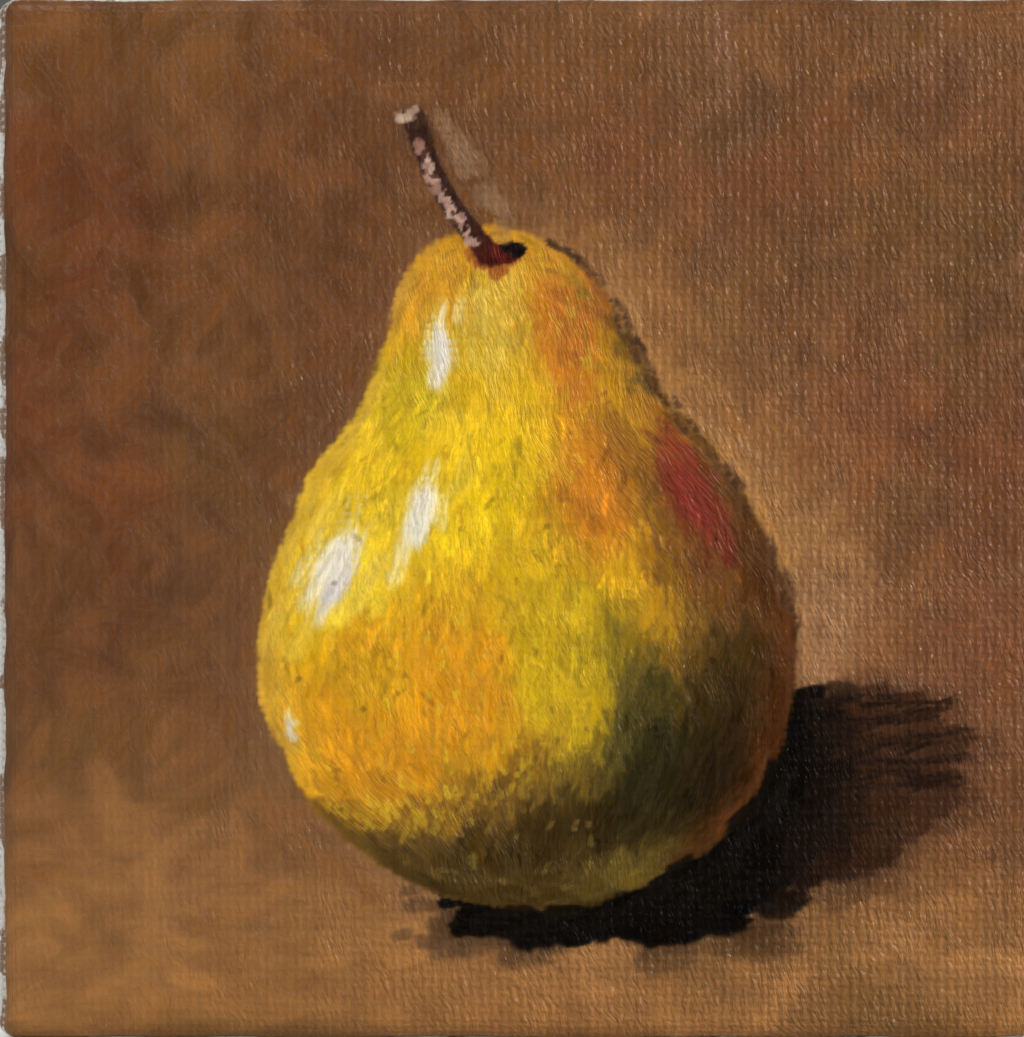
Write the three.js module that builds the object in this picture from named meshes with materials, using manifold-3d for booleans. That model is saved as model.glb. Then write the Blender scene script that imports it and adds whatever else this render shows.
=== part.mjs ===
// A miniature stretched canvas, 100 mm square. Four mitred stretcher bars are joined by two staples across
// each corner. Primed cotton is wrapped round them, folded at the corners and stapled on the back, and a
// layer of acrylic paint lies on its front.
// Millimetres, +Z up. The picture faces -Y. The origin is under the middle of the bottom edge.
import * as THREE from "three";
import { RoundedBoxGeometry } from "three/addons/geometries/RoundedBoxGeometry.js";
import { mergeVertices } from "three/addons/utils/BufferGeometryUtils.js";
import Module from "manifold-3d";

const wasm = await Module();
wasm.setup();

// Driving dimensions. A depth is measured from the front of the bars towards the back.
const FACE = 100; // outside width and height, over the cloth
const BAR_WIDTH = 18;
const BAR_DEPTH = 15;
const BEAD = 3; // width of the raised outer rim, the only wood that touches the cloth's front
const BEAD_STEP = 0.8; // how deep the wood drops just inside the rim
const FALL = 2.2; // how deep it has fallen away at the inner edge
const EASE = 0.6; // chamfer along the inner edges
const MITRE_GAP = 0.1; // half the gap at a mitre

const CLOTH = 0.5; // primed cotton duck
const GAP = 0.1; // between things that lie on each other
const EDGE_RADIUS = 2; // of the wrapped cloth, outside
const EDGE_SEGMENTS = 2;
const FLAP = 12; // how far the cloth is turned over onto the back
const FOLD_LENGTH = 22; // of the folded corner, along the top or bottom edge
const PAINT = 0.3;
const PAINT_SIZE = 97.6;

const CROWN = 9; // outside length of a staple
const WIRE_WIDTH = 1.2;
const WIRE_THICKNESS = 0.55;
const BEND_RADIUS = 0.5; // outside, where the crown turns into a leg
const LEG = 6; // from the outside of the crown to the point
const POINT = 0.8; // length of the chisel point
const ROOM = 0.15; // clearance round a driven leg
const STAPLE_INSET = 5.8; // from the canvas's outer edge to the middle of the wire
const STAPLE_SPACING = 20;
const FOLD_STAPLE = 33; // from the middle of an edge to the staple that holds its corner fold
const JOINT_STAPLES = { outer: 6.5, inner: 13 }; // from the bars' outer edges to where they cross the mitre

// Worked out from them.
const CENTRE = FACE / 2;
const OUTER = CENTRE - CLOTH - GAP; // from the frame's middle to the bars' outer edges
const CLOTH_FRONT = -GAP - CLOTH;
const CLOTH_BACK = BAR_DEPTH + GAP + CLOTH;
const FOLD_BACK = CLOTH_BACK + 2 * CLOTH; // a corner fold is two layers thicker
const PAINT_FRONT = CLOTH_FRONT - GAP - PAINT;
const BACKMOST = FOLD_BACK + GAP + WIRE_THICKNESS;
const MID_DEPTH = (PAINT_FRONT + BACKMOST) / 2;
const PAST = 1; // how far a cutter runs past what it cuts
const QUARTER = Math.PI / 2;

// Each side is the one before it turned a quarter about the depth axis, and so is each corner.
const SIDES = ["bottom", "left", "top", "right"];
const CORNERS = ["bottom_left", "top_left", "top_right", "bottom_right"];

const pine = new THREE.MeshStandardMaterial({ color: 0xd9b887, roughness: 0.75, metalness: 0 });
const primedCotton = new THREE.MeshStandardMaterial({ color: 0xe9e4d8, roughness: 0.9, metalness: 0 });
const acrylic = new THREE.MeshStandardMaterial({ color: 0x7a4a2a, roughness: 0.45, metalness: 0 });
const steel = new THREE.MeshStandardMaterial({ color: 0xa9abad, roughness: 0.35, metalness: 1 });

// A closed geometry as a solid that can be joined and cut.
function solidOf(geometry) {
  const bare = geometry.clone();
  bare.deleteAttribute("normal");
  bare.deleteAttribute("uv");
  const merged = mergeVertices(bare);
  return new wasm.Manifold(
    new wasm.Mesh({
      numProp: 3,
      vertProperties: merged.attributes.position.array,
      triVerts: new Uint32Array(merged.index.array),
    }),
  );
}

// A solid's surface as a geometry again.
function geometryOf(solid) {
  const mesh = solid.getMesh();
  const geometry = new THREE.BufferGeometry();
  geometry.setAttribute("position", new THREE.BufferAttribute(mesh.vertProperties, 3));
  geometry.setIndex(new THREE.BufferAttribute(mesh.triVerts, 1));
  geometry.computeVertexNormals();
  return geometry;
}

// A square box with rounded edges round the frame's middle, from one depth to another.
function roundedBox(size, front, back, radius) {
  const geometry = new RoundedBoxGeometry(size, back - front, size, EDGE_SEGMENTS, radius);
  return geometry.translate(0, (front + back) / 2, 0);
}

// An outline in X and Z as a slab from one depth to another.
function slab(outline, front, back) {
  const geometry = new THREE.ExtrudeGeometry(outline, { depth: back - front, bevelEnabled: false });
  return geometry.rotateX(QUARTER).translate(0, back, 0);
}

function outlineOf(points) {
  return new THREE.Shape(points.map(([x, y]) => new THREE.Vector2(x, y)));
}

// The section of a bar: across its width from the outer edge, and its depth from the front.
function barSection() {
  return outlineOf([
    [0, 0],
    [BEAD, 0],
    [BEAD + BEAD_STEP, BEAD_STEP],
    [BAR_WIDTH - EASE, FALL],
    [BAR_WIDTH, FALL + EASE],
    [BAR_WIDTH, BAR_DEPTH - EASE],
    [BAR_WIDTH - EASE, BAR_DEPTH],
    [0, BAR_DEPTH],
  ]);
}

// A bar before its staple holes are cut, made as the bottom one and turned to its side. The ends are mitred
// by making the length depend on the distance from the outer edge, and the outer corners are rounded as the
// cloth over them is.
function plainBar(turn) {
  const geometry = new THREE.ExtrudeGeometry(barSection(), { depth: 1, bevelEnabled: false });
  const position = geometry.attributes.position;
  for (let i = 0; i < position.count; i += 1) {
    const across = position.getX(i);
    const side = position.getZ(i) > 0.5 ? 1 : -1;
    position.setZ(i, side * (OUTER - across - MITRE_GAP));
  }
  geometry.rotateY(-QUARTER).translate(0, 0, -OUTER).rotateY(turn);
  const envelope = roundedBox(2 * OUTER, 0, BAR_DEPTH, EDGE_RADIUS - CLOTH - GAP);
  return solidOf(geometry).intersect(solidOf(envelope));
}

// A staple along X, its crown's outside at depth 0 and its legs pointing towards the front.
function stapleGeometry() {
  const half = CROWN / 2;
  const inside = half - WIRE_THICKNESS;
  const outline = new THREE.Shape();
  outline.moveTo(-half, LEG - POINT);
  outline.lineTo(-half, BEND_RADIUS);
  outline.absarc(-half + BEND_RADIUS, BEND_RADIUS, BEND_RADIUS, Math.PI, 1.5 * Math.PI);
  outline.lineTo(half - BEND_RADIUS, 0);
  outline.absarc(half - BEND_RADIUS, BEND_RADIUS, BEND_RADIUS, 1.5 * Math.PI, 2 * Math.PI);
  outline.lineTo(half, LEG - POINT);
  outline.lineTo(inside, LEG);
  outline.lineTo(inside, WIRE_THICKNESS);
  outline.lineTo(-inside, WIRE_THICKNESS);
  outline.lineTo(-inside, LEG);
  const settings = { depth: WIRE_WIDTH, bevelEnabled: false, curveSegments: 3 };
  const geometry = new THREE.ExtrudeGeometry(outline, settings);
  // The outline's second axis ran away from the crown: it now runs towards the front.
  return geometry.translate(0, 0, -WIRE_WIDTH / 2).rotateZ(Math.PI);
}

// What the staple at a seat pushes aside: its two legs, and its crown too where it is driven flush.
function stapleHole({ middle, turn }) {
  const width = WIRE_WIDTH + 2 * ROOM;
  const crownDepth = WIRE_THICKNESS + ROOM + PAST;
  const legDepth = LEG + ROOM + PAST;
  const crown = new THREE.BoxGeometry(CROWN + 2 * ROOM, crownDepth, width);
  crown.translate(0, PAST - crownDepth / 2, 0);
  const legs = [-1, 1].map((side) => {
    const leg = new THREE.BoxGeometry(WIRE_THICKNESS + 2 * ROOM, legDepth, width);
    return leg.translate((side * (CROWN - WIRE_THICKNESS)) / 2, PAST - legDepth / 2, 0);
  });
  const [first, ...others] = [crown, ...legs].map((cutter) => {
    return solidOf(cutter.rotateY(turn).translate(middle.x, middle.y, middle.z));
  });
  return others.reduce((hole, cutter) => hole.add(cutter), first);
}

// Where each staple goes: its name, the middle of its crown's outside, and its turn about the depth axis.
function stapleSeats() {
  const seats = [];
  SIDES.forEach((side, quarter) => {
    const turn = quarter * QUARTER;
    const place = (name, along, up, crownBack, skew = 0) => {
      const middle = new THREE.Vector3(along, crownBack, up);
      middle.applyAxisAngle(new THREE.Vector3(0, 1, 0), turn);
      seats.push({ name, middle, turn: turn + skew });
    };
    const row = STAPLE_INSET - CENTRE;
    const onCloth = CLOTH_BACK + GAP + WIRE_THICKNESS;
    place(`staple_${side}_1`, -STAPLE_SPACING, row, onCloth);
    place(`staple_${side}_2`, 0, row, onCloth);
    place(`staple_${side}_3`, STAPLE_SPACING, row, onCloth);
    if (side === "bottom" || side === "top") {
      place(`fold_staple_${side}_1`, -FOLD_STAPLE, row, BACKMOST);
      place(`fold_staple_${side}_2`, FOLD_STAPLE, row, BACKMOST);
    }
    for (const [name, inset] of Object.entries(JOINT_STAPLES)) {
      const onMitre = inset - OUTER;
      place(`corner_staple_${CORNERS[quarter]}_${name}`, onMitre, onMitre, BAR_DEPTH, QUARTER / 2);
    }
  });
  return seats;
}

// The cloth: a thin shell round the bars, open at the back inside the turned-over flaps.
function clothShell() {
  const outside = solidOf(roundedBox(FACE, CLOTH_FRONT, CLOTH_BACK, EDGE_RADIUS));
  const hollow = roundedBox(FACE - 2 * CLOTH, -GAP, BAR_DEPTH + GAP, EDGE_RADIUS - CLOTH);
  const opening = new THREE.BoxGeometry(FACE - 2 * FLAP, BAR_DEPTH, FACE - 2 * FLAP);
  opening.translate(0, CLOTH_BACK, 0);
  return outside.subtract(solidOf(hollow)).subtract(solidOf(opening));
}

// The folded cloth at one back corner: the spare cloth lies under the top or bottom flap, whose end runs
// in from the corner at 45 degrees.
function cornerFold(sideX, sideZ) {
  const outer = CENTRE - EDGE_RADIUS;
  const inner = CENTRE - FLAP;
  const points = [
    [sideX * outer, sideZ * outer],
    [sideX * inner, sideZ * inner],
    [sideX * (CENTRE - FOLD_LENGTH), sideZ * inner],
    [sideX * (CENTRE - FOLD_LENGTH), sideZ * outer],
  ];
  // The slab's outline has its second axis pointing down, so the Z values change sign.
  const outline = outlineOf(points.map(([x, z]) => [x, -z]));
  return solidOf(slab(outline, CLOTH_BACK - CLOTH / 2, FOLD_BACK));
}

function squareOutline(size, radius) {
  const half = size / 2;
  const straight = half - radius;
  const outline = new THREE.Shape();
  outline.absarc(straight, straight, radius, 0, QUARTER);
  outline.absarc(-straight, straight, radius, QUARTER, 2 * QUARTER);
  outline.absarc(-straight, -straight, radius, 2 * QUARTER, 3 * QUARTER);
  outline.absarc(straight, -straight, radius, 3 * QUARTER, 4 * QUARTER);
  return outline;
}

const frame = new THREE.Group();

function addPiece(name, geometry, material) {
  const piece = new THREE.Mesh(geometry, material);
  piece.name = name;
  frame.add(piece);
  return piece;
}

const seats = stapleSeats();
const jointHoles = seats.filter(({ name }) => name.startsWith("corner")).map(stapleHole);
const clothHoles = seats.filter(({ name }) => !name.startsWith("corner")).map(stapleHole);
const cutBy = (solid, cutters) => cutters.reduce((rest, cutter) => rest.subtract(cutter), solid);

SIDES.forEach((side, quarter) => {
  const bar = cutBy(plainBar(quarter * QUARTER), [...jointHoles, ...clothHoles]);
  addPiece(`bar_${side}`, geometryOf(bar), pine);
});

let cloth = clothShell();
for (const sideX of [-1, 1]) {
  for (const sideZ of [-1, 1]) {
    cloth = cloth.add(cornerFold(sideX, sideZ));
  }
}
addPiece("canvas", geometryOf(cutBy(cloth, clothHoles)), primedCotton);

const paintOutline = squareOutline(PAINT_SIZE, EDGE_RADIUS);
addPiece("paint_film", slab(paintOutline, PAINT_FRONT, PAINT_FRONT + PAINT), acrylic);

for (const { name, middle, turn } of seats) {
  const staple = addPiece(name, stapleGeometry(), steel);
  staple.position.copy(middle);
  staple.rotation.y = turn;
}

frame.position.set(0, -MID_DEPTH, CENTRE);
const group = new THREE.Group();
group.add(frame);

export default group;
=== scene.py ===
"""The looks of a small painted canvas, 100 mm square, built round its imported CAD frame.

Everything is worked out in millimetres, and MM turns it to metres. The picture faces -Y. It shows a plain
study of a pear, made up here out of a few circles, soft patches of colour and thousands of seeded strokes.
"""

from math import atan2, cos, exp, hypot, pi, sin, sqrt

import bpy
import numpy as np
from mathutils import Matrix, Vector


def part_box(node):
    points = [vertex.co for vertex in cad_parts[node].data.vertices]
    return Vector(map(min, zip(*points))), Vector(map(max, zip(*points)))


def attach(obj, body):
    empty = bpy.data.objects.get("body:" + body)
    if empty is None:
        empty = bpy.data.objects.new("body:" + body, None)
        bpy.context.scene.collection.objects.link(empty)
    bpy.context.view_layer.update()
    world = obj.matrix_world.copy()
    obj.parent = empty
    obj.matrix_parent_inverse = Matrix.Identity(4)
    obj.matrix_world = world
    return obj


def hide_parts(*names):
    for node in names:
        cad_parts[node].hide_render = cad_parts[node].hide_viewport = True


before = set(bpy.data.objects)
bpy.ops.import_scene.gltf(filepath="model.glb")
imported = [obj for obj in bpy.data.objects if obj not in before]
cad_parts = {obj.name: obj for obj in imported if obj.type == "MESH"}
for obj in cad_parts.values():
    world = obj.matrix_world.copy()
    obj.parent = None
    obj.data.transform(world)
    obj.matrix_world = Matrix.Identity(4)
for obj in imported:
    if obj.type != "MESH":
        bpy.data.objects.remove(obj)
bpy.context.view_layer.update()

# ---- Sizes, from the frame ----

MM = 0.001


def box_mm(node):
    """A CAD node's lowest and highest corners in millimetres."""
    return [np.array(corner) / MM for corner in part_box(node)]


CLOTH_BOX, BAR_BOX = box_mm("canvas"), box_mm("bar_bottom")
FACE = CLOTH_BOX[1][0] - CLOTH_BOX[0][0]
FRONT = CLOTH_BOX[0][1]  # where the cloth's front lies along Y
BAR_FRONT, BAR_BACK = BAR_BOX[0][1], BAR_BOX[1][1]
BAR_WIDTH = BAR_BOX[1][2] - BAR_BOX[0][2]
BAR_INSET = BAR_BOX[0][2] - CLOTH_BOX[0][2]  # from the cloth's outside to the bar's outer edge
BACK = BAR_BACK + BAR_FRONT - FRONT  # the back of the cloth that is turned over
MIDDLE = FACE / 2
EDGE = 2.0  # radius of the wrapped cloth's edge
FLAT = MIDDLE - EDGE  # from the face's middle to the rim of its flat front
ARC = EDGE * pi / 2  # round the edge
CLOTH = 0.5
FLAP = 12.0  # how far the cloth is turned over onto the back

# ---- The weave ----

WARP_PITCH = 0.93  # between the threads that run up the face
WEFT_PITCH = 0.82  # between those that run across it


def smoothstep(low, high, value):
    share = np.clip((value - low) / (high - low), 0, 1)
    return share * share * (3 - 2 * share)


def mix(a, b, share):
    """a where share is 0 and b where it is 1; share may be a field over the picture."""
    share = np.asarray(share)
    return a + (b - a) * (share[..., None] if share.ndim == 2 else share)


# The painted face as a square grid that reaches round the canvas's edges, unrolled. Across is from its middle
# and up is from its bottom.
PAINT_STEP = 0.19
REACH = FLAT + ARC
line = np.arange(-REACH, REACH + PAINT_STEP / 2, PAINT_STEP)
ACROSS = line[None, :]
UP = (MIDDLE + line)[:, None]
GRID = (len(line), len(line))
dice = np.random.default_rng(11)
uniform, gauss, chance = dice.uniform, dice.normal, dice.random


def noise(cell, octaves=1):
    """Soft noise from -1 to 1 over the face; cell is the way between its random values."""
    total, strength, size = np.zeros(GRID), 0.0, 1.0
    for _ in range(octaves):
        place = (line + REACH) / (cell * size)
        values = uniform(-1, 1, (int(place[-1]) + 2,) * 2)
        low = place.astype(int)
        share = smoothstep(0, 1, place - low)
        rows = values[low] * (1 - share[:, None]) + values[low + 1] * share[:, None]
        total += size * (rows[:, low] * (1 - share) + rows[:, low + 1] * share)
        strength += size
        size /= 2
    return total / strength


def weave_height():
    """A plain weave's relief from 0, between threads, to about 1 on their uneven tops."""
    u, v = THREAD_PLACES[0] / WARP_PITCH, THREAD_PLACES[1] / WEFT_PITCH
    warp_gain, weft_gain = uniform(0.72, 1.12, (2, 200))
    across, up = np.sin(pi * u), np.sin(pi * v)
    over = np.clip(1.6 * across * up, -1, 1)
    warp = np.abs(across) ** 0.8 * (0.64 + 0.36 * over) * warp_gain[np.floor(u).astype(int) % 200]
    weft = np.abs(up) ** 0.8 * (0.60 - 0.40 * over) * weft_gain[np.floor(v).astype(int) % 200]
    return np.maximum(warp, weft) * (1 + 0.2 * noise(4, 2))


# Where each point is across the warp and up the weft, whose threads wander a little.
THREAD_PLACES = (ACROSS + 0.28 * noise(14, 3), UP + 0.28 * noise(14, 3))
WEAVE = weave_height()
SHOWING = 0.30 + 0.70 * smoothstep(-52, 30, ACROSS) * np.ones(GRID)  # of the weave, through the paint

# ---- What is painted: a pear on a table, lit from the upper left ----

PEAR_BASE, PEAR_TOP = 12.5, 78.0
LIGHT = np.array([-0.66, 0.50, 0.55])  # across, towards the viewer, up
LIGHT /= np.linalg.norm(LIGHT)


def rgb(red, green, blue):
    return np.array([red, green, blue]) / 255


def glaze(colour, *layers):
    """That colour with others laid over it, each (colour, share)."""
    for over, share in layers:
        colour = mix(colour, rgb(*over), share)
    return colour


def turned(across, up, angle):
    """A place as seen from an axis at that angle: how far along it, and how far to its left."""
    c, s = cos(angle), sin(angle)
    return across * c + up * s, up * c - across * s


def lean(up):
    """How far the pear's middle line is to the right at that height."""
    share = (up - PEAR_BASE) / (PEAR_TOP - PEAR_BASE)
    return 1.8 - 4.5 * share + 2.5 * np.sin(pi * share) * share


def outside(across, up):
    """About how far a point is outside the pear's outline: three circles, smoothly joined."""
    across = across - lean(up)

    def join(a, b, softness):
        share = np.clip(0.5 + 0.5 * (b - a) / softness, 0, 1)
        return b + (a - b) * share - softness * share * (1 - share)

    belly = np.hypot(across / 1.05, up - 37) - 24.4
    shoulder = np.hypot(across, up - 48) - 17.5
    neck = np.hypot(across, up - 67.5) - 10.4
    return join(join(belly, shoulder, 8), neck, 10)


def half_widths(up):
    """The pear's half width at each height, found by halving."""
    low, high = np.zeros_like(up), np.full_like(up, MIDDLE)
    for _ in range(30):
        middle = (low + high) / 2
        within = outside(middle + lean(up), up) < 0
        low, high = np.where(within, middle, low), np.where(within, high, middle)
    return low


HALF = half_widths(UP)
SLOPE = np.clip(np.gradient(HALF[:, 0], PAINT_STEP), -4, 4)[:, None]
DISTANCE = outside(ACROSS, UP)
FROM_MIDDLE = ACROSS - lean(UP)
SHARE = FROM_MIDDLE / np.maximum(HALF, 1)  # -1 at the pear's left outline, 1 at its right


def light_on_pear():
    """How far each point of the pear faces the light, from 0 to 1."""
    towards = np.sqrt(np.clip(HALF**2 - FROM_MIDDLE**2, 0, None))
    facing = np.stack(np.broadcast_arrays(FROM_MIDDLE, towards, -HALF * SLOPE), -1)
    facing /= np.maximum(np.linalg.norm(facing, axis=-1, keepdims=True), 1e-6)
    return 0.5 + 0.5 * (facing @ LIGHT)


def patch(across, up, wide, tall, tilt=0.0):
    """A soft oval from 1 in its middle to 0."""
    x, z = turned(ACROSS - across, UP - up, tilt)
    return np.exp(-((x / wide) ** 2 + (z / tall) ** 2))


def shadow_depth():
    """About how far a point is inside the pear's shadow on the table."""

    def oval(across, up, wide, tall, tilt):
        x, z = turned(ACROSS - across, UP - up, tilt)
        return tall * (1 - np.hypot(x / wide, z / tall))

    cast, contact = oval(24, 23.8, 19.5, 9.6, 0.18), oval(8.5, 13.6, 19.5, 4.4, 0.04)
    return np.maximum(cast, contact) + 0.9 * noise(5, 2)


def ground_colour():
    near = np.clip(DISTANCE, 0, None)
    lit_side = smoothstep(-8, 14, ACROSS) * smoothstep(24, 44, UP)
    wall = smoothstep(20, 34, UP)
    right = smoothstep(-38, 30, ACROSS + 0.2 * (UP - MIDDLE) + 7 * noise(26, 2))
    return glaze(
        mix(rgb(103, 64, 34), rgb(104, 64, 32), right),
        ((158, 110, 60), 0.88 * smoothstep(27, 8, UP + 4 * noise(20, 2))),
        ((146, 102, 56), 0.7 * patch(-38, 22, 16, 10)),
        ((88, 50, 26), 0.35 * smoothstep(0.0, 0.6, noise(13, 3)) * wall),
        ((130, 90, 50), 0.40 * smoothstep(0.1, 0.7, noise(11, 3))),
        ((96, 68, 28), 0.45 * smoothstep(0.1, 0.6, noise(10, 3))),
        ((112, 58, 30), 0.50 * smoothstep(0.1, 0.6, noise(12, 3)) * wall),
        ((122, 84, 46), 0.35 * smoothstep(84, 99, UP)),
        ((188, 136, 76), 0.85 * np.exp(-near / 6) * lit_side),
        ((120, 70, 42), 0.6 * patch(43, 41, 7, 12)),
        ((178, 134, 100), 0.75 * patch(30, 40, 4.5, 9) * np.exp(-near / 9)),
        ((136, 98, 62), 0.5 * np.exp(-near / 1.8) * (1 - lit_side)),
    )


def shadow_colour():
    """Near black beside the pear, and a thin warm brown further off."""
    far = smoothstep(2.5, 12, DISTANCE + 0.35 * (UP - 24) + 2.5 * noise(6, 2))
    return mix(rgb(8, 5, 3), rgb(64, 38, 20), far)


# The skin's colours from shade to light, and how far it faces the light at each.
FACING = (0.08, 0.30, 0.44, 0.54, 0.64, 0.80, 0.94, 1.00)
TONES = [
    rgb(30, 20, 8), rgb(42, 30, 8), rgb(62, 44, 8), rgb(126, 88, 8),
    rgb(196, 144, 4), rgb(226, 172, 6), rgb(232, 186, 12), rgb(238, 206, 54),
]


def pear_colour():
    light = light_on_pear() + 0.085 * noise(7, 3)
    light = light - 0.17 * smoothstep(29, 12, UP - 0.1 * FROM_MIDDLE)
    light = light + 0.08 * smoothstep(52, 62, UP) * (SHARE > 0)
    skin = np.stack([np.interp(light, FACING, channel) for channel in zip(*TONES)], -1)
    bright = smoothstep(0.50, 0.64, light)
    low_half = smoothstep(14, 20, UP) * smoothstep(58, 40, UP)

    def ragged(low, high, field, rough, cell, octaves):
        return smoothstep(low, high, field + rough * noise(cell, octaves))

    return glaze(
        skin,
        ((220, 142, 6), 0.7 * ragged(0.25, 0.8, patch(-11, 31, 14, 12), 0.4, 9, 3) * bright),
        ((204, 172, 2), 0.85 * ragged(0.3, 0.75, patch(5, 37, 8, 13, 0.3), 0.3, 6, 3)),
        ((196, 160, 4), 0.5 * smoothstep(0.15, 0.6, noise(9, 3)) * bright),
        ((230, 170, 4), 0.6 * smoothstep(0.0, 0.5, noise(10, 3)) * bright),
        ((232, 196, 8), 0.6 * ragged(0.3, 0.8, patch(-5, 53, 9, 7), 0.35, 5, 2)),
        ((196, 132, 26), 0.80 * ragged(61, 72, UP, 2, 5, 2) * bright),
        ((196, 168, 6), 0.7 * ragged(0.3, 0.8, patch(-10, 63, 3.5, 6), 0.3, 4, 2)),
        ((214, 186, 76), 0.8 * ragged(0.3, 0.9, patch(-2.5, 69, 4.5, 8), 0.3, 4, 2)),
        ((184, 104, 22), 0.8 * ragged(0.3, 0.8, patch(5.5, 67, 4, 8.5), 0.35, 4, 2)),
        # The warm right side, its brown edge, the red blush, the green shade and the olive base.
        ((188, 106, 20), 0.75 * ragged(0.3, 0.9, patch(7, 54, 6, 9, -0.3), 0.35, 4, 3)),
        ((106, 60, 12), 0.75 * ragged(0.25, 0.8, patch(17, 49, 5.5, 14, 0.46), 0.3, 4, 3)),
        ((128, 34, 20), 0.9 * ragged(0.3, 0.8, patch(16.5, 53, 2.4, 9.5, 0.50), 0.25, 3, 2)),
        ((40, 38, 14), 0.75 * ragged(0.35, 0.85, patch(12, 30, 5, 12, 0.15), 0.3, 5, 2)),
        ((92, 67, 8), 0.65 * ragged(24, 15, UP, 2.5, 6, 2)),
        # The reflected light of the right rim, an olive glow at the base, and the pale left rim.
        ((96, 48, 6), 0.8 * ragged(0.78, 0.97, SHARE, 0.08, 5, 2) * low_half),
        ((120, 98, 8), 0.7 * ragged(0.3, 0.9, patch(11, 16.5, 6, 3, 0.5), 0.3, 3, 2)),
        ((206, 164, 78), 0.55 * smoothstep(-0.84, -0.97, SHARE) * smoothstep(22, 30, UP)),
    )


GROUND = ground_colour()
SHADOW_DEPTH = shadow_depth()
SHADOW = shadow_colour()
PEAR = pear_colour()


def ridge_places():
    """Places across and along fine bristle ridges: from stalk to base on the pear, and slanting elsewhere."""
    round_pear = 22 * FROM_MIDDLE / np.clip(HALF, 16, None) + 0.12 * UP
    across = np.where(DISTANCE < 0, round_pear, ACROSS + 0.28 * UP)
    return across + 0.9 * noise(6, 2) + 0.22 * noise(1.4), UP + 40 * (DISTANCE < 0)


RIDGE_PLACES = ridge_places()

# ---- The brush ----


def index_of(across, up):
    row = int(np.clip(round((up - UP[0, 0]) / PAINT_STEP), 0, GRID[0] - 1))
    column = int(np.clip(round((across - line[0]) / PAINT_STEP), 0, GRID[1] - 1))
    return row, column


# The paint so far: its colour (sRGB), its thickness, and how its brush hairs ran.
COLOUR = np.broadcast_to(rgb(124, 84, 56), GRID + (3,)).copy()
RELIEF, HAIR, RUN = np.zeros((3,) + GRID)


def stroke(
    place, angle, length, width, colour, dry=0.3, body=0.03, bend=0.0, opacity=1.0,
    streak=0.05, pickup=0.2, soft=0.3, within=None,
):
    """One stroke of a brush.

    dry goes from 0, which fills the weave, to 1, which only touches thread tops, and body is its thickness.
    streak is how much the colour differs from hair to hair, and pickup the share that comes from under it.
    soft is the share of the width and length that fades, and within is a field from 0 to 1 it is kept to.
    """
    half, side = length / 2, width / 2
    reach = hypot(half, side) * 1.15 + abs(bend)
    rows = slice(*np.searchsorted(UP[:, 0], [place[1] - reach, place[1] + reach]))
    columns = slice(*np.searchsorted(line, [place[0] - reach, place[0] + reach]))
    if rows.stop - rows.start < 2 or columns.stop - columns.start < 2:
        return
    here = (rows, columns)
    along, aside = turned(ACROSS[:, columns] - place[0], UP[rows] - place[1], angle)
    along = along / half
    aside = (aside - bend * along * along) / side

    hairs = max(6, int(width / 0.3))
    combed = np.linspace(-1.2, 1.2, hairs)
    load = np.interp(aside, combed, chance(hairs))
    tip = np.interp(aside, combed, 1 - 0.4 * chance(hairs))
    tail = np.interp(aside, combed, 1 - 0.2 * chance(hairs))
    ragged = np.interp(along, np.linspace(-1, 1, 9), uniform(-0.12, 0.12, 9))
    ends = smoothstep(0, soft, tip - along - 0.15 * aside**2)
    ends *= smoothstep(0, soft, tail + along - 0.25 * aside**2)
    sides = 1 - smoothstep(1 - 1.3 * soft, 1.02, np.abs(aside) + ragged)
    thin = dry * (0.65 + 0.35 * along)
    cover = smoothstep(thin - 0.12, thin + 0.16, 0.62 * WEAVE[here] + 0.38 * load)
    alpha = opacity * ends * sides * cover
    if within is not None:
        alpha = alpha * within[here]

    under = COLOUR[here]
    own = colour + pickup * (under[under.shape[0] // 2, under.shape[1] // 2] - colour)
    tint = own + streak * (load - 0.5)[..., None] * np.array([1.0, 0.9, 0.75])
    COLOUR[here] = mix(under, tint, alpha)
    ridge = 1.1 * np.exp(-(((np.abs(aside) - 0.86) / 0.13) ** 2))
    ridge += 1.3 * np.exp(-(((along - tip + 0.12) / 0.1) ** 2))
    height = body * (0.45 + 0.75 * load + ridge * (0.4 + 0.6 * load))
    before = RELIEF[here]
    RELIEF[here] = before + (height - 0.4 * before) * alpha
    fresh = alpha > 0.35
    HAIR[here] = np.where(fresh, aside * side + uniform(0, 90), HAIR[here])
    RUN[here] = np.where(fresh, along * half + uniform(0, 90), RUN[here])


ANY = (-99, 99)


def spots(count, across, up, out=ANY, shade=ANY):
    """Random places and their indices, at those distances outside the pear and depths in its shadow."""
    for _ in range(count):
        place = uniform(*across), uniform(*up)
        at = index_of(*place)
        if out[0] < DISTANCE[at] < out[1] and shade[0] < SHADOW_DEPTH[at] < shade[1]:
            yield place, at


def jitter(amount):
    """A small change of colour, lighter or darker and a little warmer or cooler."""
    warmth = gauss(0, amount * 0.5)
    return gauss(0, amount) + np.array([warmth, 0.25 * warmth, -warmth])


def between(*colours):
    """A random mix of two colours."""
    first, second = (rgb(*colour) for colour in colours)
    return mix(first, second, chance())


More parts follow.
